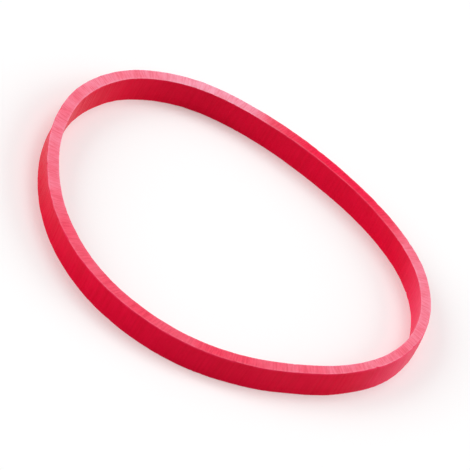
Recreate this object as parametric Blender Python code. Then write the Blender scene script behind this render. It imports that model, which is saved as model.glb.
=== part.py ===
"""A rubber band: one flat-walled ring sliced from a rubber tube.

The band lies as it comes to rest, on one of its two cut faces, with its wall
standing up. Metres, +Z up; the origin is at the bottom centre of the band's box,
with +X along its longest way across.
"""

import math

import bmesh
import bpy

# Driving dimensions of the strip
FLAT_LENGTH = 0.0635        # the band pressed flat, end to end, along the middle of its wall
CUT_WIDTH = 0.0032          # from one cut face to the other
WALL_THICKNESS = 0.00122    # from the outer wall to the inner wall, taken all round
CORNER_CHAMFER = 0.00008    # the knife leaves the four long corners nearly sharp

# The tube's bore lies a little off its middle, so one side of the wall is thicker
BORE_OFFSET = 0.00012
THICK_TURN = math.radians(200)    # where the wall is thickest, counted from +X

# Shape of the relaxed loop, seen from above
OVAL_SHARE = 0.034          # how much longer than round, as a share of the mean radius
EGG_SHARE = 0.043           # how far one end is blunter than the other, same share
EGG_TURN = math.radians(17.3)

# Lean of the standing wall, which tips the same way all round
LEAN_ANGLE = math.radians(7.3)
LEAN_TURN = math.radians(231)    # the side that it tips towards, counted from +X

# Steps round the loop
STATIONS = 144

RUBBER_RED = (0.62, 0.012, 0.035, 1.0)
RUBBER_ROUGHNESS = 0.55


def clear_scene():
    """Remove every object that the scene starts with."""
    for item in list(bpy.data.objects):
        bpy.data.objects.remove(item, do_unlink=True)


def radius_at(turn):
    """Distance from the loop's centre to the middle of the wall, for a mean radius of 1."""
    oval = OVAL_SHARE * math.cos(2 * turn)
    egg = EGG_SHARE * math.cos(3 * (turn - EGG_TURN))
    return 1 + oval + egg


def radius_slope(turn):
    """How fast radius_at changes with the turn."""
    oval = -2 * OVAL_SHARE * math.sin(2 * turn)
    egg = -3 * EGG_SHARE * math.sin(3 * (turn - EGG_TURN))
    return oval + egg


def mean_radius():
    """The mean radius at which the way round the loop is twice the flat length."""
    step = 2 * math.pi / STATIONS
    way_round = 0
    for station in range(STATIONS):
        turn = station * step
        way_round += step * math.hypot(radius_at(turn), radius_slope(turn))
    return 2 * FLAT_LENGTH / way_round


def outward(turn):
    """The level direction that points straight out of the wall."""
    radius = radius_at(turn)
    slope = radius_slope(turn)
    along_x = slope * math.cos(turn) - radius * math.sin(turn)
    along_y = slope * math.sin(turn) + radius * math.cos(turn)
    length = math.hypot(along_x, along_y)
    return along_y / length, -along_x / length


def lean_at(turn):
    """The wall's outward lean: most on the side that it tips towards, inward opposite."""
    return LEAN_ANGLE * math.cos(turn - LEAN_TURN)


def wall_at(turn):
    """The wall's thickness: most on one side, least opposite it."""
    return WALL_THICKNESS + BORE_OFFSET * math.cos(turn - THICK_TURN)


def section_corners(wall):
    """The cut section of a wall this thick as (outward, up) points, going round it once."""
    half = wall / 2
    chamfer = min(CORNER_CHAMFER, wall / 4, CUT_WIDTH / 4)
    return [
        (half - chamfer, 0),
        (half, chamfer),
        (half, CUT_WIDTH - chamfer),
        (half - chamfer, CUT_WIDTH),
        (chamfer - half, CUT_WIDTH),
        (-half, CUT_WIDTH - chamfer),
        (-half, chamfer),
        (chamfer - half, 0),
    ]


def place(corner, turn, radius):
    """Set one corner of the section into the loop at a turn.

    The lean grows from nothing at the lower cut face, which stays flat on the
    surface, to its full angle at the upper one. The middle of the wall stays on
    the loop's path.
    """
    out, up = corner
    lean = lean_at(turn) * up / CUT_WIDTH
    centring = CUT_WIDTH * math.sin(lean_at(turn)) / 2
    across = out * math.cos(lean) + up * math.sin(lean) - centring
    height = up * math.cos(lean) - out * math.sin(lean)
    normal_x, normal_y = outward(turn)
    path = radius * radius_at(turn)
    return (
        path * math.cos(turn) + across * normal_x,
        path * math.sin(turn) + across * normal_y,
        height,
    )


def centre_on_box(mesh):
    """Move a mesh sideways so that its box is centred on the origin."""
    for axis in (0, 1):
        places = [vert.co[axis] for vert in mesh.verts]
        middle = (min(places) + max(places)) / 2
        for vert in mesh.verts:
            vert.co[axis] -= middle


def rubber_material():
    """The red rubber, through and through."""
    material = bpy.data.materials.new("red_rubber")
    material.use_nodes = True
    shader = material.node_tree.nodes["Principled BSDF"]
    shader.inputs["Base Color"].default_value = RUBBER_RED
    shader.inputs["Roughness"].default_value = RUBBER_ROUGHNESS
    shader.inputs["Metallic"].default_value = 0.0
    return material


def build_band():
    """Sweep the cut section once round the loop and close it on itself."""
    mesh = bmesh.new()
    radius = mean_radius()
    rings = []
    for station in range(STATIONS):
        turn = 2 * math.pi * station / STATIONS
        corners = section_corners(wall_at(turn))
        rings.append([mesh.verts.new(place(corner, turn, radius)) for corner in corners])
    for station in range(STATIONS):
        here = rings[station]
        ahead = rings[(station + 1) % STATIONS]
        for side in range(len(here)):
            following = (side + 1) % len(here)
            mesh.faces.new((here[side], ahead[side], ahead[following], here[following]))
    centre_on_box(mesh)
    bmesh.ops.recalc_face_normals(mesh, faces=mesh.faces)
    data = bpy.data.meshes.new("rubber_band")
    mesh.to_mesh(data)
    mesh.free()
    data.shade_smooth()
    data.set_sharp_from_angle(angle=math.radians(30))
    data.materials.append(rubber_material())
    band = bpy.data.objects.new("rubber_band", data)
    bpy.context.scene.collection.objects.link(band)
    return band


def main():
    """Make the band in an empty scene."""
    clear_scene()
    build_band()


main()
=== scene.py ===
"""Looks of a relaxed red rubber band, lying on one of its cut faces on a white table.

Lengths are in metres and angles in radians, where a docstring says nothing else.
"""

import logging
import math
from abc import ABC, abstractmethod
from dataclasses import dataclass, field, replace
from enum import Enum

import bpy
import numpy as np
from mathutils import Matrix, Vector, noise


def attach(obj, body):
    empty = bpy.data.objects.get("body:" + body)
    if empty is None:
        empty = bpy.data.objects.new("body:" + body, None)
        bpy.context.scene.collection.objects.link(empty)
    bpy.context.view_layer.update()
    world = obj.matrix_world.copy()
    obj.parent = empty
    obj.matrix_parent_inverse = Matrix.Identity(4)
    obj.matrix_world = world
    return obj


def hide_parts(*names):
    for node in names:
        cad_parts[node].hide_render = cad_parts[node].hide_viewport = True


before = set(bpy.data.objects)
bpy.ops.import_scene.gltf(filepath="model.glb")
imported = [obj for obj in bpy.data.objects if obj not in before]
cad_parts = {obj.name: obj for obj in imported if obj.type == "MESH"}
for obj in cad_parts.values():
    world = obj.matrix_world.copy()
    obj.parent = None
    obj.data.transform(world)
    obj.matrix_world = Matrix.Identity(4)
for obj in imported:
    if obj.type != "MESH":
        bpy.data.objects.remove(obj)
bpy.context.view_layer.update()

log = logging.getLogger("rubber_band")

NODE = "rubber_band"
BODY = "root"

MM = 0.001
MICRON = 0.000001
FULL_TURN = 2 * math.pi

# The spacing of nodes in their editor, and the Mix node's colour sockets
NODE_STEP = 200
MIX_FIRST = 6
MIX_SECOND = 7
MIX_RESULT = 2

Colour = tuple[float, float, float, float]
WHITE: Colour = (1.0, 1.0, 1.0, 1.0)
Socket = bpy.types.NodeSocket
Feed = float | Colour | Socket
Inputs = dict[str | int, Feed]


class Face(Enum):
    """The sides of the strip that have a finish of their own, as material places."""

    OUTER_WALL = 0
    INNER_WALL = 1
    CUT_FACE = 2


class Corner(Enum):
    """The strip's four long corners, in the order in which its outline passes them."""

    LOWER_OUTER = 0
    UPPER_OUTER = 1
    UPPER_INNER = 2
    LOWER_INNER = 3

    @property
    def side(self) -> int:
        """1 at the outer wall, -1 at the inner one."""
        return 1 if self in (Corner.LOWER_OUTER, Corner.UPPER_OUTER) else -1

    @property
    def is_upper(self) -> bool:
        """Whether it lies at the upper cut face."""
        return self in (Corner.UPPER_OUTER, Corner.UPPER_INNER)

    @property
    def first_angle(self) -> float:
        """Where its round starts, counted from straight outward."""
        return (self.value - 1) * FULL_TURN / 4


class Mark(Enum):
    """What the mesh tells the finishes about each of its points, as attribute names."""

    PLACE = "strip_place"
    EDGE = "strip_edge"
    # How much painted sheen of the overhead light, with a little powder, pales the cut faces.
    BLOOM = "strip_bloom"
    # Where the walls are paler round the right end: partly powder, partly painted sheen and light.
    DUST = "strip_dust"


@dataclass(frozen=True)
class LoopWave:
    """A smooth uneven wave that closes on itself round the loop.

    Attributes:
        spread: its usual height, in whatever it is a wave of.
        seed: which of the many like waves it is.
        fewest: waves round the loop in its slowest part.
        most: waves round the loop in its quickest part.
        fall: how fast the quicker parts fade.
    """

    spread: float
    seed: int
    fewest: int
    most: int
    fall: float

    def along(self, stations: int) -> np.ndarray:
        """Read the wave at evenly spaced stations.

        Args:
            stations: how many places round the loop.

        Returns:
            One height for each station.
        """
        draw = np.random.default_rng(self.seed)
        turns = np.arange(stations) * FULL_TURN / stations
        heights = np.zeros(stations)
        for count in range(self.fewest, self.most + 1):
            size = draw.normal() / count ** self.fall
            heights += size * np.cos(count * turns + draw.uniform(0, FULL_TURN))
        return self.spread * heights / heights.std()


@dataclass
class Outline:
    """The strip's cut section at every station: arrays of stations by section points.

    Attributes:
        out: distance out from the middle of the wall.
        up: height in the unbent section.
        way_out: outward part of each point's facing direction.
        way_up: upward part of it.
        faces: the side that the step after each point belongs to.
    """

    out: np.ndarray
    up: np.ndarray
    way_out: np.ndarray
    way_up: np.ndarray
    faces: list[Face]

    def push(self, relief: np.ndarray) -> None:
        """Move every point along its facing direction by its own amount."""
        self.out = self.out + self.way_out * relief
        self.up = self.up + self.way_up * relief


@dataclass(frozen=True)
class StripSection:
    """How the cut section is divided: a tall rectangle with small rounded corners.

    Attributes:
        wall_steps: mesh steps up each wall.
        face_steps: mesh steps across each cut face.
        corner_steps: mesh steps round each corner.
    """

    wall_steps: int = 12
    face_steps: int = 8
    corner_steps: int = 4

    def spread(self, steps: int) -> np.ndarray:
        """Divide a side into steps that are shorter near its two ends.

        Args:
            steps: how many steps.

        Returns:
            Where each step starts, from 0 up to but without 1.
        """
        even = np.arange(steps) / steps
        eased = (1 - np.cos(math.pi * even)) / 2
        return (even + eased) / 2

    def round_off(
        self, corner: Corner, radius: np.ndarray, half: np.ndarray, top: np.ndarray
    ) -> np.ndarray:
        """Lay out one corner, from the side before it to the side after it.

        Args:
            corner: which corner.
            radius: its radius at each station.
            half: half the wall's thickness at each station.
            top: the height of the upper cut face at each station.

        Returns:
            Out, up, outward and upward facing, each of stations by corner_steps + 1.
        """
        shares = np.arange(self.corner_steps + 1) / self.corner_steps
        angles = corner.first_angle + shares * FULL_TURN / 4
        facing_out = np.tile(np.cos(angles), (len(radius), 1))
        facing_up = np.tile(np.sin(angles), (len(radius), 1))
        middle_out = corner.side * (half - radius)
        middle_up = top - radius if corner.is_upper else radius
        out = middle_out[:, None] + radius[:, None] * facing_out
        up = middle_up[:, None] + radius[:, None] * facing_up
        return np.stack([out, up, facing_out, facing_up])

    def outline(self, radii: dict[Corner, np.ndarray], half: np.ndarray, top: np.ndarray) -> Outline:
        """Lay the whole section out at every station.

        Args:
            radii: each corner's radius at each station.
            half: half the wall's thickness at each station.
            top: the height of the upper cut face at each station.

        Returns:
            The points, their facing directions and the side that each step belongs to.
        """
        rounds = [self.round_off(corner, radii[corner], half, top) for corner in Corner]
        round_faces = (Face.OUTER_WALL, Face.OUTER_WALL, Face.CUT_FACE, Face.INNER_WALL)
        side_faces = (Face.OUTER_WALL, Face.CUT_FACE, Face.INNER_WALL, Face.CUT_FACE)
        points = []
        faces = []
        for place, here in enumerate(rounds):
            ahead = rounds[(place + 1) % len(rounds)]
            steps = self.face_steps if side_faces[place] is Face.CUT_FACE else self.wall_steps
            share = self.spread(steps)
            points.append(here[:, :, :-1])
            points.append(here[:, :, -1:] * (1 - share) + ahead[:, :, :1] * share)
            faces += [round_faces[place]] * self.corner_steps + [side_faces[place]] * steps
        return Outline(*np.concatenate(points, axis=2), faces)


@dataclass(frozen=True)
class RelaxedLoop:
    """The path that the strip follows and how its wall leans, in the part's own sizes.

    Attributes:
        flat_length: the band pressed flat, end to end, along the middle of its wall.
        cut_width: from one cut face to the other.
        wall_thickness: from the outer wall to the inner wall, taken all round.
        bore_offset: how far the tube's bore lies off its middle.
        thick_turn: where the wall is thickest for that, counted from +X.
        oval_share: how much longer than round, as a share of the mean radius.
        egg_share: how far one end is blunter than the other, same share.
        egg_turn: where the egg shape is blunt, counted from +X.
        lean_angle: the lean of the standing wall, which tips the same way all round.
        lean_turn: the side that it tips towards, counted from +X.
        stations: mesh steps round the loop.
    """

    flat_length: float = 63.5 * MM
    cut_width: float = 3.2 * MM
    wall_thickness: float = 1.22 * MM
    bore_offset: float = 0.12 * MM
    thick_turn: float = math.radians(200)
    oval_share: float = 0.034
    egg_share: float = 0.043
    egg_turn: float = math.radians(17.3)
    lean_angle: float = math.radians(7.3)
    lean_turn: float = math.radians(231)
    stations: int = 1760

    @property
    def way_round(self) -> float:
        """The length of the strip along the middle of its wall."""
        return 2 * self.flat_length

    def turns(self) -> np.ndarray:
        """The turn at each station."""
        return np.arange(self.stations) * FULL_TURN / self.stations

    def radius_shares(self) -> tuple[np.ndarray, np.ndarray]:
        """Shape the path for a mean radius of 1.

        Returns:
            Its radius at each station, and how fast that changes with the turn.
        """
        turns = self.turns()
        egg = 3 * (turns - self.egg_turn)
        share = 1 + self.oval_share * np.cos(2 * turns) + self.egg_share * np.cos(egg)
        slope = -2 * self.oval_share * np.sin(2 * turns) - 3 * self.egg_share * np.sin(egg)
        return share, slope

    def mean_radius(self) -> float:
        """Find the mean radius at which the path is as long as the strip.

        Returns:
            The radius.
        """
        share, slope = self.radius_shares()
        return self.way_round / (np.hypot(share, slope).sum() * FULL_TURN / self.stations)

    def path(self) -> np.ndarray:
        """Lay out the line that the middle of the wall follows.

        Returns:
            Its X and Y at each station.
        """
        turns = self.turns()
        share, _ = self.radius_shares()
        return self.mean_radius() * share[:, None] * np.stack([np.cos(turns), np.sin(turns)], axis=1)

    def outward(self) -> np.ndarray:
        """Find the level direction that points straight out of the wall.

        Returns:
            Its X and Y at each station.
        """
        turns = self.turns()
        share, slope = self.radius_shares()
        along_x = slope * np.cos(turns) - share * np.sin(turns)
        along_y = slope * np.sin(turns) + share * np.cos(turns)
        return np.stack([along_y, -along_x], axis=1) / np.hypot(along_x, along_y)[:, None]

    def lean(self) -> np.ndarray:
        """The wall's outward lean at each station, inward opposite its side."""
        return self.lean_angle * np.cos(self.turns() - self.lean_turn)

    def wall(self) -> np.ndarray:
        """The wall's thickness at each station."""
        return self.wall_thickness + self.bore_offset * np.cos(self.turns() - self.thick_turn)

    def sweep(self, outline: Outline, lean: np.ndarray, stray: np.ndarray) -> np.ndarray:
        """Set the section into the loop. The lean grows from nothing at the table.

        Args:
            outline: the section's points at every station.
            lean: the wall's lean at each station.
            stray: how far the path strays outward at each station.

        Returns:
            Points, stations by section points by three.
        """
        lean = lean[:, None]
        bend = lean * outline.up / self.cut_width
        centring = self.cut_width * np.sin(lean) / 2
        across = outline.out * np.cos(bend) + outline.up * np.sin(bend) - centring + stray[:, None]
        height = outline.up * np.cos(bend) - outline.out * np.sin(bend)
        level = self.path()[:, None, :] + across[:, :, None] * self.outward()[:, None, :]
        return np.concatenate([level, height[:, :, None]], axis=2)

    def strip_places(self, outline: Outline, skew: float) -> np.ndarray:
        """Find each point's place on the straightened strip, bent to a plain hoop to close it.

        Args:
            outline: the section's points at every station.
            skew: how far a place moves along the strip for each metre out.

        Returns:
            Two parts that go round with the strip, and one that goes round its section.
        """
        hoop = self.way_round / FULL_TURN
        share, slope = self.radius_shares()
        steps = np.hypot(share, slope)
        along = (np.cumsum(steps) - steps[0]) / steps.sum() * self.way_round
        turned = (along[:, None] + skew * outline.out) / hoop
        around = outline.up + outline.out
        return np.stack([hoop * np.cos(turned), hoop * np.sin(turned), around], axis=-1)


def smooth_noise(places: np.ndarray) -> np.ndarray:
    """Read smooth noise at many places.

    Args:
        places: an array whose last axis holds three numbers.

    Returns:
        A value from about -1 to 1 for each place.
    """
    values = np.array([noise.noise(Vector(place)) for place in places.reshape(-1, 3)])
    return values.reshape(places.shape[:-1])


@dataclass(frozen=True)
class StripWear:
    """How far a real strip is from a perfect one.

    Attributes:
        wall: change of the wall's thickness.
        height: change of the cut width.
        path: how the path strays from its smooth line.
        twist: how the lean strays.
        corner: change of the long corners' radius.
        corner_radius: their usual radius, as the knife leaves them nearly sharp.
        least_corner: their smallest radius, as a share of the usual one.
        most_corner: their largest radius, as a share of the wall's thickness.
        nick_count: small nicks along each corner, where the knife tore.
        nick_depths: how deep the shallowest and the deepest are.
        nick_lengths: how far the shortest and the longest reach each way.
        fine_lines: the finest lines that the tube's die drew up the walls.
        broad_lines: the broader ones between them.
        lump_relief: height of the skin's soft lumps.
        lump_size: how far apart they are.
        ripple_relief: depth of the knife's ripples on the cut faces.
        ripple_pitch: how far apart they are along the strip.
        ripple_reach: how far one runs before it changes.
        knife_skew: the slant of the knife's path, along the strip for each metre across.
        inset: how far the skin lies inside the part's plain solid.
    """

    wall: LoopWave = LoopWave(0.02 * MM, seed=2, fewest=3, most=40, fall=0.8)
    height: LoopWave = LoopWave(0.03 * MM, seed=3, fewest=2, most=12, fall=1.0)
    path: LoopWave = LoopWave(0.035 * MM, seed=15, fewest=4, most=18, fall=1.2)
    twist: LoopWave = LoopWave(math.radians(0.7), seed=8, fewest=3, most=14, fall=1.0)
    corner: LoopWave = LoopWave(0.010 * MM, seed=50, fewest=12, most=160, fall=0.4)
    corner_radius: float = 0.06 * MM
    least_corner: float = 0.5
    most_corner: float = 0.25
    nick_count: int = 14
    nick_depths: tuple[float, float] = (0.03 * MM, 0.09 * MM)
    nick_lengths: tuple[float, float] = (0.1 * MM, 0.29 * MM)
    fine_lines: LoopWave = LoopWave(3 * MICRON, seed=11, fewest=60, most=400, fall=0.1)
    broad_lines: LoopWave = LoopWave(4 * MICRON, seed=12, fewest=18, most=90, fall=0.3)
    lump_relief: float = 9 * MICRON
    lump_size: float = 1.1 * MM
    ripple_relief: float = 16 * MICRON
    ripple_pitch: float = 0.45 * MM
    ripple_reach: float = 2.5 * MM
    knife_skew: float = math.tan(math.radians(14))
    inset: float = 0.03 * MM

    def corner_radii(self, loop: RelaxedLoop) -> dict[Corner, np.ndarray]:
        """Work out each corner's radius along the strip, larger at its nicks.

        Args:
            loop: the loop that the strip goes round.

        Returns:
            One radius for each station, for each corner.
        """
        places = np.arange(loop.stations) * loop.way_round / loop.stations
        least = self.least_corner * self.corner_radius
        most = self.most_corner * loop.wall_thickness
        radii = {}
        for corner in Corner:
            seed = self.corner.seed + corner.value
            draw = np.random.default_rng(seed)
            radius = self.corner_radius + replace(self.corner, seed=seed).along(loop.stations)
            for _ in range(self.nick_count):
                away = np.abs(places - draw.uniform(0, loop.way_round))
                away = np.minimum(away, loop.way_round - away) / draw.uniform(*self.nick_lengths)
                radius += draw.uniform(*self.nick_depths) * np.exp(-(away ** 2))
            radii[corner] = np.clip(radius, least, most)
        return radii

    def relief(self, loop: RelaxedLoop, outline: Outline, points: np.ndarray) -> np.ndarray:
        """Work out the skin's own unevenness: tube lines on the walls, ripples on the cuts.

        Args:
            loop: the loop that the strip goes round.
            outline: the section's points at every station.
            points: the same points in the plain loop.

        Returns:
            How far each point stands proud.
        """
        wall = np.abs(outline.way_out)
        lines = self.fine_lines.along(loop.stations) + self.broad_lines.along(loop.stations)
        lumps = self.lump_relief * smooth_noise(points / self.lump_size)
        pitch = np.array([self.ripple_pitch, self.ripple_pitch, self.ripple_reach])
        ripples = self.ripple_relief * smooth_noise(loop.strip_places(outline, self.knife_skew) / pitch)
        return wall * lines[:, None] + (1 - wall) * ripples + lumps - self.inset


@dataclass(frozen=True)
class Stretch:
    """A stretch of the loop whose two ends fade out.

    Attributes:
        middle: where it is, counted from +X.
        reach: how far it goes each way.
        abruptness: how suddenly it ends, as an even power.
    """

    middle: float
    reach: float
    abruptness: int = 4

    def share(self, turns: np.ndarray) -> np.ndarray:
        """Tell how far each turn lies in the stretch: 1 in its middle, 0 away from it."""
        away = (turns - self.middle + FULL_TURN / 2) % FULL_TURN - FULL_TURN / 2
        return np.exp(-((away / self.reach) ** self.abruptness))


@dataclass(frozen=True)
class CutBloomAndSheen:
    """How pale the cut faces are: mostly a painted sheen of the overhead light, with a little powder film,
    uneven round the loop.

    Attributes:
        level: how much paleness they have on the whole, from 0 to 1.
        one_sided: how much more painted sheen they have at turn, and less opposite it.
        turn: where that is, counted from +X.
        at_ends: how much more painted sheen they have at both ends of X, and less at the long sides.
        patches: how unevenly it lies.
        shaded: where painted shade takes the paleness off, leaving plain red.
        glare: where a painted glare makes it paler still.
        glare_gain: how much paler the glare makes it.
    """

    level: float = 0.45
    one_sided: float = 0.14
    turn: float = math.radians(84)
    at_ends: float = 0.12
    patches: LoopWave = LoopWave(0.052, seed=21, fewest=5, most=60, fall=0.6)
    # Painted shade: the cut face is plain red here, as in shade.
    shaded: Stretch = Stretch(math.radians(70), math.radians(28))
    # Painted glare: the cut face is paler still here, as where it catches a lamp.
    glare: Stretch = Stretch(math.radians(118), math.radians(15))
    glare_gain: float = 0.5

    def along(self, loop: RelaxedLoop) -> np.ndarray:
        """Read the paleness round the loop: painted sheen, shade and glare, with a little powder. the loop
        that the strip goes round.

        Returns:
            A value from 0 to 1 for each station.
        """
        turns = loop.turns()
        # The paleness follows how the overhead light falls round the loop: painted sheen, with a little
        # powder.
        bloom_and_sheen = self.level + self.one_sided * np.cos(turns - self.turn)
        bloom_and_sheen += self.at_ends * np.cos(2 * turns) + self.patches.along(loop.stations)
        # Painted glare, where the cut is paler still.
        bloom_and_sheen += self.glare_gain * self.glare.share(turns)
        # Painted shade takes the paleness off in the shaded stretch.
        return np.clip(bloom_and_sheen, 0, 1) * (1 - self.shaded.share(turns))


@dataclass
class RubberBand:
    """The band: one strip swept round its relaxed loop, with the unevenness of a real cut.

    Attributes:
        loop: the path and the lean.
        section: how the cut section is divided.
        wear: how uneven the strip is.
        bloom_and_sheen: how pale its cut faces are, mostly from a painted sheen of the overhead light.
        dust_and_sheen: where the walls are paler round the right end, partly powder, partly painted sheen
            and light.
        edge_reach: how far a corner's wear and painted glow go in over the sides.
        inner_powder: how much powder clings to the inner wall, from 0 to 1.
        piece: the band's object, once it is built.
    """

    loop: RelaxedLoop = RelaxedLoop()
    section: StripSection = StripSection()
    wear: StripWear = StripWear()
    bloom_and_sheen: CutBloomAndSheen = CutBloomAndSheen()
    # The right end, where the walls are painted paler: partly powder, partly sheen and light that the lamps
    # don't give.
    dust_and_sheen: Stretch = Stretch(math.radians(5), math.radians(26))
    edge_reach: float = 0.11 * MM
    inner_powder: float = 0.08
    piece: bpy.types.Object | None = field(default=None, init=False)

    def box_middle(self) -> np.ndarray:
        """Find the middle of the plain ring's box, which the part keeps over its origin.

        Returns:
            Its X and Y.
        """
        even = np.ones(self.loop.stations)
        radii = {corner: self.wear.corner_radius * even for corner in Corner}
        outline = self.section.outline(radii, self.loop.wall() / 2, self.loop.cut_width * even)
        points = self.loop.sweep(outline, self.loop.lean(), 0 * even).reshape(-1, 3)
        return (points.min(axis=0) + points.max(axis=0))[:2] / 2

    def shape(self) -> tuple[np.ndarray, Outline]:
        """Work out the band's skin, lowered on to the table.

        Returns:
            Its points, and the outline that names their sides.
        """
        loop, wear = self.loop, self.wear
        half = (loop.wall() + wear.wall.along(loop.stations)) / 2
        height = wear.height.along(loop.stations)
        top = loop.cut_width + height - height.max()
        outline = self.section.outline(wear.corner_radii(loop), half, top)
        lean = loop.lean() + wear.twist.along(loop.stations)
        stray = wear.path.along(loop.stations)
        outline.push(wear.relief(loop, outline, loop.sweep(outline, lean, stray)))
        points = loop.sweep(outline, lean, stray)
        points[..., :2] -= self.box_middle()
        points[..., 2] = np.maximum(points[..., 2] - wear.inset, 0)
        return points, outline

    def build(self) -> bpy.types.Object:
        """Make the band's mesh.

        Returns:
            The band's object, without finishes.
        """
        points, outline = self.shape()
        rows, columns = points.shape[:2]
        here = np.arange(rows * columns).reshape(rows, columns)
        ahead = np.roll(here, -1, axis=0)
        quads = np.stack([here, ahead, np.roll(ahead, -1, axis=1), np.roll(here, -1, axis=1)], axis=-1)
        mesh = bpy.data.meshes.new("relaxed_band")
        mesh.from_pydata(points.reshape(-1, 3).tolist(), [], quads.reshape(-1, 4).tolist())
        places = [face.value for face in outline.faces]
        mesh.polygons.foreach_set("material_index", np.tile(places, rows))
        mesh.shade_smooth()
        self.mark(mesh, outline)
        mesh.update()
        self.piece = bpy.data.objects.new("relaxed_band", mesh)
        bpy.context.scene.collection.objects.link(self.piece)
        return self.piece

    def mark(self, mesh: bpy.types.Mesh, outline: Outline) -> None:
        """Keep what the finishes ask of each point.

        Args:
            mesh: the band's mesh, with its points in station order.
            outline: the section's points at every station.
        """
        places = self.loop.strip_places(outline, self.wear.knife_skew)
        attribute = mesh.attributes.new(Mark.PLACE.value, "FLOAT_VECTOR", "POINT")
        attribute.data.foreach_set("vector", places.astype(np.float32).ravel())
        section_points = outline.out.shape[1]
        masks = {
            Mark.EDGE: self.nearness(outline),
            Mark.BLOOM: np.repeat(self.bloom_and_sheen.along(self.loop), section_points),
            Mark.DUST: np.repeat(self.dust_and_sheen.share(self.loop.turns()), section_points),
        }
        for kind, amounts in masks.items():
            attribute = mesh.attributes.new(kind.value, "FLOAT", "POINT")
            attribute.data.foreach_set("value", amounts.astype(np.float32).ravel())

    def nearness(self, outline: Outline) -> np.ndarray:
        """Tell how near each point is to a long corner.

        Args:
            outline: the section's points at every station.

        Returns:
            A value from 0 to 1 for each point, 1 at a corner.
        """
        half = np.abs(outline.out).max(axis=1)[:, None]
        top = outline.up.max(axis=1)[:, None]
        from_wall = half - np.abs(outline.out)
        from_face = np.minimum(outline.up, top - outline.up)
        return np.exp(-((np.maximum(from_wall, from_face) / self.edge_reach) ** 2))

    def dress(self) -> None:
        """Give each side of the strip its finish, and set the piece in the frame."""
        finishes = {
            Face.OUTER_WALL: WallRubber("outer_wall_rubber"),
            Face.INNER_WALL: WallRubber("inner_wall_rubber", powder=self.inner_powder),
            Face.CUT_FACE: CutRubber("knife_cut_rubber"),
        }
        for face in Face:
            self.piece.data.materials.append(finishes[face].material())
        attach(self.piece, BODY)
        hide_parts(NODE)


@dataclass(frozen=True)
class Grain:
    """How a noise is layered, and what part of it is stretched into a mask.

    Attributes:
        detail: how many finer layers it has.
        roughness: how strong they are.
        low: the noise value that becomes 0 in the mask.
        high: the noise value that becomes 1.
    """

    detail: float
    roughness: float
    low: float
    high: float


class NodePen:
    """Writes nodes into a material, world or group tree, left to right."""

    def __init__(self, tree: bpy.types.NodeTree) -> None:
        """Take the tree to write in."""
        self.tree = tree
        self.count = 0

    def feed(self, node: bpy.types.Node, inputs: Inputs) -> None:
        """Fill a node's sockets.

        Args:
            node: the node.
            inputs: socket names or numbers, each with a value or an output to link.
        """
        for name, value in inputs.items():
            if isinstance(value, Socket):
                self.tree.links.new(value, node.inputs[name])
            else:
                node.inputs[name].default_value = value

    def add(self, kind: str, inputs: Inputs | None = None, **settings: object) -> bpy.types.Node:
        """Add a node, set it up and fill its sockets.

        Args:
            kind: the node's type name without its ShaderNode start.
            inputs: socket names or numbers, each with a value or an output to link.
            settings: the node's own properties.

        Returns:
            The new node.
        """
        node = self.tree.nodes.new("ShaderNode" + kind)
        node.location = (NODE_STEP * self.count, 0)
        self.count += 1
        for name, value in settings.items():
            setattr(node, name, value)
        self.feed(node, inputs or {})
        return node

    def maths(self, operation: str, *values: Feed) -> Socket:
        """The result of a Math node for some numbers or outputs, in order."""
        return self.add("Math", dict(enumerate(values)), operation=operation).outputs[0]

    def blend(self, share: Feed, first: Feed, second: Feed) -> Socket:
        """Two colours, mixed by a share of the second."""
        colours = {"Factor": share, MIX_FIRST: first, MIX_SECOND: second}
        return self.add("Mix", colours, data_type="RGBA").outputs[MIX_RESULT]

    def noise(self, place: Socket, scale: Feed, grain: Grain) -> Socket:
        """Add a smooth noise.

        Args:
            place: where it is read.
            scale: how many of its lumps lie in one unit of place.
            grain: how it is layered.

        Returns:
            Its value, mostly between 0.3 and 0.7.
        """
        layers = {"Detail": grain.detail, "Roughness": grain.roughness}
        return self.add("TexNoise", {"Vector": place, "Scale": scale, **layers}).outputs[0]

    def mask(self, value: Socket, grain: Grain) -> Socket:
        """Stretch a noise smoothly and hold it at both ends.

        Args:
            value: the noise.
            grain: which part of it is stretched.

        Returns:
            A mask from 0 to 1.
        """
        limits = {"Value": value, "From Min": grain.low, "From Max": grain.high}
        return self.add("MapRange", limits, interpolation_type="SMOOTHSTEP").outputs["Result"]

    def mark(self, kind: Mark, output: str = "Fac") -> Socket:
        """One of the marks that the mesh carries."""
        return self.add("Attribute", attribute_name=kind.value).outputs[output]

    def looked_at(self) -> Socket:
        """Tell the rays that look at a surface from those that only light from it.

        Returns:
            1 where it is seen straight, in gloss or through glass, and 0 elsewhere.
        """
        rays = self.add("LightPath").outputs
        seen = self.maths("MAXIMUM", rays["Is Camera Ray"], rays["Is Glossy Ray"])
        return self.maths("MAXIMUM", seen, rays["Is Transmission Ray"])


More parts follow.
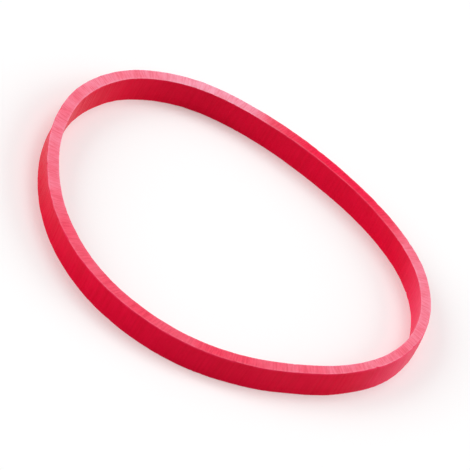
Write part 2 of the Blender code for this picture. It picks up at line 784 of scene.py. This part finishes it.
class EffectGroup(ABC):
    """A shader node group that is built once and placed in each finish with its own values.

    Attributes:
        name: the group's name.
        numbers: its inputs and their usual values.
        results: its outputs.
    """

    name: str
    numbers: dict[str, float]
    results: tuple[str, ...]

    @abstractmethod
    def write(self, pen: NodePen, given: bpy.types.bpy_prop_collection) -> dict[str, Socket]:
        """Write the effect's own nodes.

        Args:
            pen: writes in the group's tree.
            given: the group's inputs.

        Returns:
            What goes to each result.
        """

    def tree(self) -> bpy.types.NodeTree:
        """Find the group, or build it the first time.

        Returns:
            The group's tree.
        """
        if self.name in bpy.data.node_groups:
            return bpy.data.node_groups[self.name]
        tree = bpy.data.node_groups.new(self.name, "ShaderNodeTree")
        for name, usual in self.numbers.items():
            socket = tree.interface.new_socket(name, in_out="INPUT", socket_type="NodeSocketFloat")
            socket.default_value = usual
        for name in self.results:
            tree.interface.new_socket(name, in_out="OUTPUT", socket_type="NodeSocketFloat")
        entry = tree.nodes.new("NodeGroupInput")
        leave = tree.nodes.new("NodeGroupOutput")
        pen = NodePen(tree)
        pen.feed(leave, self.write(pen, entry.outputs))
        return tree

    def place(self, pen: NodePen, values: dict[str, Feed]) -> dict[str, Socket]:
        """Place the group in a finish.

        Args:
            pen: writes in the finish's tree.
            values: what its inputs are set to or linked from.

        Returns:
            Its outputs.
        """
        outputs = pen.add("Group", values, node_tree=self.tree()).outputs
        return {name: outputs[name] for name in self.results}


class Mottle(EffectGroup):
    """Slow cloudiness and fine specks, from 0 to 1, as pigment and filler leave in rubber.

    Attributes:
        cloud_grain: how the clouds are layered.
        speck_grain: how the specks are layered.
    """

    name = "rubber_mottle"
    numbers = {"Cloud Scale": 500.0, "Speck Scale": 9000.0}
    results = ("Cloud", "Speck")
    cloud_grain = Grain(detail=4.0, roughness=0.6, low=0.3, high=0.7)
    speck_grain = Grain(detail=2.0, roughness=0.7, low=0.35, high=0.65)

    def write(self, pen: NodePen, given: bpy.types.bpy_prop_collection) -> dict[str, Socket]:
        """Write two noises over the object's own metres.

        Args:
            pen: writes in the group's tree.
            given: how many clouds and how many specks lie in a metre.

        Returns:
            The Cloud and Speck masks.
        """
        place = pen.add("TexCoord").outputs["Object"]
        cloud = pen.noise(place, given["Cloud Scale"], self.cloud_grain)
        speck = pen.noise(place, given["Speck Scale"], self.speck_grain)
        return {"Cloud": pen.mask(cloud, self.cloud_grain), "Speck": pen.mask(speck, self.speck_grain)}


class CrossLines(EffectGroup):
    """Fine lines that run across the strip, as the tube's die and the knife leave them.

    Attributes:
        line_grain: how the lines are layered.
    """

    name = "rubber_lines"
    numbers = {"Per Metre": 5000.0, "Change": 200.0}
    results = ("Height", "Crest")
    line_grain = Grain(detail=3.0, roughness=0.6, low=0.31, high=0.64)

    def write(self, pen: NodePen, given: bpy.types.bpy_prop_collection) -> dict[str, Socket]:
        """Write one noise, drawn out across the straightened strip.

        Args:
            pen: writes in the group's tree.
            given: how many lines lie in a metre of strip, and how often one changes in a
                metre of its own length.

        Returns:
            The lines' Height, and a Crest mask that is 1 on their tops.
        """
        across, along = given["Per Metre"], given["Change"]
        scale = pen.add("CombineXYZ", {"X": across, "Y": across, "Z": along})
        place = pen.mark(Mark.PLACE, "Vector")
        drawn = pen.add("VectorMath", {0: place, 1: scale.outputs[0]}, operation="MULTIPLY").outputs[0]
        height = pen.noise(drawn, 1.0, self.line_grain)
        return {"Height": height, "Crest": pen.mask(height, self.line_grain)}


class PaleWearAndSheen(EffectGroup):
    """Paleness, from powder, from wear and a painted glow along the long corners, and from powder and
    painted sheen round the right end.

    Attributes:
        least_rubbed_and_glowing: the share of the corners' wear and painted glow that shows between the
            clouds.
        patchiness: how much more of it shows in the clouds.
        least_dust_and_sheen: the share of the right end's paleness that lies between the clouds and the
            specks.
        graininess: how much more of it lies on a cloud or a speck.
    """

    name = "rubber_wear_and_sheen"
    numbers = {"Powder": 0.05, "Rubbing And Edge Glow": 0.4, "Dust And Sheen": 0.0, "Cloud": 0.5, "Speck": 0.5}
    results = ("Mask",)
    least_rubbed_and_glowing = 0.6
    patchiness = 0.8
    least_dust_and_sheen = 0.7
    graininess = 0.3

    def write(self, pen: NodePen, given: bpy.types.bpy_prop_collection) -> dict[str, Socket]:
        """Write powder by the specks, corner wear and painted glow by the nearness to a corner, and the
        right end's powder and painted sheen.

        Args:
            pen: writes in the group's tree.
            given: how much of each there is, and the mottle that breaks them up.

        Returns:
            The Mask, 0 where the rubber is clean.
        """
        patchy = pen.maths("MULTIPLY_ADD", given["Cloud"], self.patchiness, self.least_rubbed_and_glowing)
        # Corner wear and a painted glow of light through the thin edges, by the nearness to a corner.
        rubbed_and_glowing = pen.maths("MULTIPLY", pen.mark(Mark.EDGE), given["Rubbing And Edge Glow"])
        grains = pen.maths("ADD", given["Cloud"], given["Speck"])
        grainy = pen.maths("MULTIPLY_ADD", grains, self.graininess, self.least_dust_and_sheen)
        # Round the right end: partly powder, partly painted sheen and light, broken up by the clouds and
        # specks.
        dusted_and_sheened = pen.maths("MULTIPLY", pen.mark(Mark.DUST), given["Dust And Sheen"])
        powdered = pen.maths("MULTIPLY", given["Speck"], given["Powder"])
        wear_and_sheen = pen.maths("MULTIPLY_ADD", rubbed_and_glowing, patchy, powdered)
        return {"Mask": pen.maths("MULTIPLY_ADD", dusted_and_sheened, grainy, wear_and_sheen)}


@dataclass(frozen=True)
class RubberFinish(ABC):
    """What the strip's finishes share: fine lines, mottle, wear with painted sheen and glow, and a dull
    gloss.

    Attributes:
        name: the material's name.
        red: the clean rubber's colour on the fine lines' tops.
        deep: its colour in the lines' hollows.
        pale: the colour of powder, of corner wear, and of the painted sheen and edge glow.
        powder: how much powder clings to it, from 0 to 1.
        rubbing_and_edge_glow: how pale its corners are from wear and a painted glow, from 0 to 1.
        dust_and_sheen: how pale it is round the right end, partly powder and partly painted sheen and
            light, from 0 to 1.
        clouds: clouds of colour in a metre.
        lines: fine lines in a metre of strip.
        line_change: how often a line changes in a metre of its own length.
        line_depth: how deep the lines are.
        speck_height: how high the specks stand, as a share of the lines.
        rough: how dull it is between the specks.
        speck_rough: how much duller the specks are.
        gloss: the share of common gloss.
    """

    name: str
    red: Colour
    deep: Colour
    pale: Colour
    powder: float
    rubbing_and_edge_glow: float
    dust_and_sheen: float
    clouds: float
    lines: float
    line_change: float
    line_depth: float
    speck_height: float
    rough: float
    speck_rough: float
    gloss: float

    @abstractmethod
    def colour(self, pen: NodePen, crest: Socket, cloud: Socket, wear_and_sheen: Socket) -> Socket:
        """Mix the surface's colour.

        Args:
            pen: writes in the material's tree.
            crest: 1 on the fine lines' tops.
            cloud: the slow mottle.
            wear_and_sheen: how much powder, corner wear, painted edge glow and painted sheen there is.

        Returns:
            The mixed colour.
        """

    def material(self) -> bpy.types.Material:
        """Make the finish.

        Returns:
            A Principled material whose colour, roughness and relief vary.
        """
        material = bpy.data.materials.new(self.name)
        material.use_nodes = True
        shader = material.node_tree.nodes["Principled BSDF"]
        pen = NodePen(material.node_tree)
        mottle = Mottle().place(pen, {"Cloud Scale": self.clouds})
        lines = CrossLines().place(pen, {"Per Metre": self.lines, "Change": self.line_change})
        wear_and_sheen = {"Powder": self.powder, "Rubbing And Edge Glow": self.rubbing_and_edge_glow, "Dust And Sheen": self.dust_and_sheen}
        # Powder and corner wear, with a painted edge glow and, on the walls, painted sheen round the right
        # end.
        wear = PaleWearAndSheen().place(pen, {**wear_and_sheen, **mottle})
        relief = pen.maths("MULTIPLY_ADD", mottle["Speck"], self.speck_height, lines["Height"])
        bump = pen.add("Bump", {"Height": relief, "Strength": 1.0, "Distance": self.line_depth})
        finish = {
            "Base Color": self.colour(pen, lines["Crest"], mottle["Cloud"], wear["Mask"]),
            "Roughness": pen.maths("MULTIPLY_ADD", mottle["Speck"], self.speck_rough, self.rough),
            "Normal": bump.outputs[0],
            "Specular IOR Level": self.gloss,
        }
        pen.feed(shader, finish)
        return material


@dataclass(frozen=True)
class WallRubber(RubberFinish):
    """The tube's own skin: satin red, with fine lines up the wall and a trace of powder.

    Attributes:
        crest_share: how far the lines' tops bring it from deep to red.
        cloud_share: how far the mottle does.
    """

    red: Colour = (0.85, 0.0012, 0.038, 1.0)
    deep: Colour = (0.75, 0.0008, 0.028, 1.0)
    pale: Colour = (1.0, 0.06, 0.16, 1.0)
    powder: float = 0.05
    # Paler along the corners: partly wear, partly a painted glow of light through the thin edges.
    rubbing_and_edge_glow: float = 0.5
    # Paler round the right end: partly powder, partly painted sheen and light that the lamps don't give.
    dust_and_sheen: float = 0.65
    clouds: float = 500.0
    lines: float = 4200.0
    line_change: float = 160.0
    line_depth: float = 10 * MICRON
    speck_height: float = 0.25
    rough: float = 0.29
    speck_rough: float = 0.14
    gloss: float = 0.035
    crest_share: float = 0.6
    cloud_share: float = 0.4

    def colour(self, pen: NodePen, crest: Socket, cloud: Socket, wear_and_sheen: Socket) -> Socket:
        """Mix deep with red by the lines and the mottle, and lay the wear, painted edge glow and painted
        sheen over them.

        Args:
            pen: writes in the material's tree.
            crest: 1 on the fine lines' tops.
            cloud: the slow mottle.
            wear_and_sheen: how much powder, corner wear, painted edge glow and painted sheen there is.

        Returns:
            The mixed colour.
        """
        bright = pen.maths("MULTIPLY", crest, self.crest_share)
        bright = pen.maths("MULTIPLY_ADD", cloud, self.cloud_share, bright)
        return pen.blend(wear_and_sheen, pen.blend(bright, self.deep, self.red), self.pale)


@dataclass(frozen=True)
class CutRubber(RubberFinish):
    """A cut face: duller than the wall, with knife ripples across it, and paler from a painted sheen of the
    overhead light.

    Attributes:
        crest_paling: how much more painted sheen the ripples' tops get.
        cloud_paling: how much paler the mottle makes it.
        bloom_and_sheen_paling: how much paler it is under full painted sheen.
    """

    # Brighter than the wall's red: partly painted light where the cut faces the overhead lamp, partly its
    # rougher knife surface.
    red: Colour = (0.97, 0.008, 0.064, 1.0)
    deep: Colour = (0.85, 0.002, 0.042, 1.0)
    pale: Colour = (1.0, 0.43, 0.56, 1.0)
    powder: float = 0.05
    rubbing_and_edge_glow: float = 0.15
    dust_and_sheen: float = 0.0
    clouds: float = 700.0
    lines: float = 5200.0
    line_change: float = 700.0
    line_depth: float = 14 * MICRON
    speck_height: float = 0.35
    rough: float = 0.62
    speck_rough: float = 0.12
    gloss: float = 0.05
    crest_paling: float = 0.30
    cloud_paling: float = 0.19
    bloom_and_sheen_paling: float = 0.51

    def colour(self, pen: NodePen, crest: Socket, cloud: Socket, wear_and_sheen: Socket) -> Socket:
        """Mix deep with red by the ripples, and both with the pale colour by the painted sheen, powder,
        corner wear and painted edge glow.

        Args:
            pen: writes in the material's tree.
            crest: 1 on the fine lines' tops.
            cloud: the slow mottle.
            wear_and_sheen: how much powder, corner wear, painted edge glow and painted sheen there is.

        Returns:
            The mixed colour.
        """
        # Painted sheen: the cut is paler by its paleness round the loop, and more so on the ripples' tops
        # and in the mottle.
        share = pen.maths("MULTIPLY_ADD", crest, self.crest_paling, self.bloom_and_sheen_paling)
        share = pen.maths("MULTIPLY_ADD", cloud, self.cloud_paling, share)
        share = pen.maths("MULTIPLY_ADD", pen.mark(Mark.BLOOM), share, wear_and_sheen)
        return pen.blend(share, pen.blend(crest, self.deep, self.red), self.pale)


@dataclass(frozen=True)
class WhiteTable:
    """The matt white floor, which keeps the band's shadow.

    Attributes:
        reach: half the floor's side.
        gap: how far it lies below the band.
        white: how white it is.
        lift: what it gains where it is looked at, so that its open part reads as white.
        rough: how dull it is.
    """

    reach: float = 1.5
    gap: float = 2 * MICRON
    white: float = 0.86
    lift: float = 0.17
    rough: float = 0.9

    def build(self) -> bpy.types.Object:
        """Lay the floor just under the band.

        Returns:
            The floor's object.
        """
        side, low = self.reach, -self.gap
        corners = [(-side, -side, low), (side, -side, low), (side, side, low), (-side, side, low)]
        mesh = bpy.data.meshes.new("table_top")
        mesh.from_pydata(corners, [], [(0, 1, 2, 3)])
        mesh.materials.append(self.material())
        floor = bpy.data.objects.new("table_top", mesh)
        bpy.context.scene.collection.objects.link(floor)
        return floor

    def material(self) -> bpy.types.Material:
        """Make a matt white that reads as white paper under the lamps.

        Returns:
            A Principled material.
        """
        material = bpy.data.materials.new("white_table")
        material.use_nodes = True
        pen = NodePen(material.node_tree)
        finish = {
            "Base Color": (self.white, self.white, self.white, 1.0),
            "Roughness": self.rough,
            "Specular IOR Level": 0.0,
            "Emission Color": WHITE,
            "Emission Strength": pen.maths("MULTIPLY", pen.looked_at(), self.lift),
        }
        pen.feed(material.node_tree.nodes["Principled BSDF"], finish)
        return material


@dataclass(frozen=True)
class WhiteRoom:
    """Even light from all round, which is seen as plain white.

    Attributes:
        glow: how much light it gives, as a share of full white.
    """

    glow: float = 0.35

    def build(self) -> bpy.types.World:
        """Put the room round the scene.

        Returns:
            The scene's world.
        """
        world = bpy.data.worlds.new("white_room")
        world.use_nodes = True
        pen = NodePen(world.node_tree)
        strength = pen.maths("MULTIPLY_ADD", pen.looked_at(), 1 - self.glow, self.glow)
        light = {"Color": WHITE, "Strength": strength}
        pen.feed(world.node_tree.nodes["Background"], light)
        bpy.context.scene.world = world
        return world


@dataclass(frozen=True)
class Softbox:
    """A large soft lamp aimed at the band.

    Attributes:
        name: the lamp's name.
        azimuth: its side in degrees, 0 in front of the band and 90 at its right.
        height: its height above the table's level, in degrees.
        level: the share of full white that it gives a white surface facing it.
        size: its side.
        distance: how far away it is.
    """

    name: str
    azimuth: float
    height: float
    level: float
    size: float = 1.6
    distance: float = 2.5

    def build(self) -> bpy.types.Object:
        """Hang the lamp and aim it. Its energy is what gives the level at its distance.

        Returns:
            The lamp's object.
        """
        turn, rise = math.radians(self.azimuth), math.radians(self.height)
        away = Vector((math.sin(turn) * math.cos(rise), -math.cos(turn) * math.cos(rise), math.sin(rise)))
        lamp = bpy.data.lights.new(self.name, "AREA")
        lamp.shape = "SQUARE"
        lamp.size = self.size
        lamp.energy = self.level * (math.pi * self.distance) ** 2
        item = bpy.data.objects.new(self.name, lamp)
        item.location = away * self.distance
        item.rotation_euler = away.to_track_quat("Z", "Y").to_euler()
        item.visible_camera = False
        bpy.context.scene.collection.objects.link(item)
        return item


@dataclass(frozen=True)
class PhotoCamera:
    """A long lens that looks down on the band as the photo does.

    Attributes:
        elevation: its height above the band's plane, in degrees.
        roll: how far the loop's upright leans to the right in the picture, in degrees.
        distance: from the band's middle.
        frame_width: what the picture spans at the band.
        aim: the point that the lens is centred on.
        sensor_width: the camera's own size of picture, in millimetres.
        nearest: how near the camera sees.
    """

    elevation: float = 36.2
    roll: float = 32.3
    distance: float = 0.55
    frame_width: float = 46.9 * MM
    aim: tuple[float, float, float] = (0.0, 0.4 * MM, 2.3 * MM)
    sensor_width: float = 36.0
    nearest: float = 0.01

    def build(self) -> bpy.types.Object:
        """Set the camera up and make it the scene's own.

        Returns:
            The camera's object.
        """
        data = bpy.data.cameras.new("photo_camera")
        data.sensor_width = self.sensor_width
        data.lens = self.sensor_width * self.distance / self.frame_width
        data.clip_start = self.nearest
        camera = bpy.data.objects.new("photo_camera", data)
        bpy.context.scene.collection.objects.link(camera)
        rise = math.radians(self.elevation)
        back = Vector((0, -math.cos(rise), math.sin(rise)))
        upright = back.to_track_quat("Z", "Y").to_matrix().to_4x4()
        tipped = Matrix.Rotation(math.radians(self.roll), 4, "Z")
        camera.matrix_world = Matrix.Translation(Vector(self.aim) + back * self.distance) @ upright @ tipped
        bpy.context.scene.camera = camera
        return camera


def main() -> None:
    """Build the camera, the white room, the lamps and the band, and report each."""
    logging.basicConfig(level=logging.INFO, format="%(name)s: %(message)s")
    bpy.context.scene.view_settings.view_transform = "Standard"
    lamps = (
        Softbox("left_softbox", azimuth=-72, height=30, level=0.48),
        Softbox("top_softbox", azimuth=160, height=72, level=0.31),
        Softbox("right_softbox", azimuth=112, height=30, level=0.37),
    )
    for item in (PhotoCamera(), WhiteRoom(), WhiteTable(), *lamps):
        log.info("%s set up", item.build().name)
    band = RubberBand()
    piece = band.build()
    band.dress()
    log.info("%s built with %d faces", piece.name, len(piece.data.polygons))


if __name__ == "__main__":
    main()
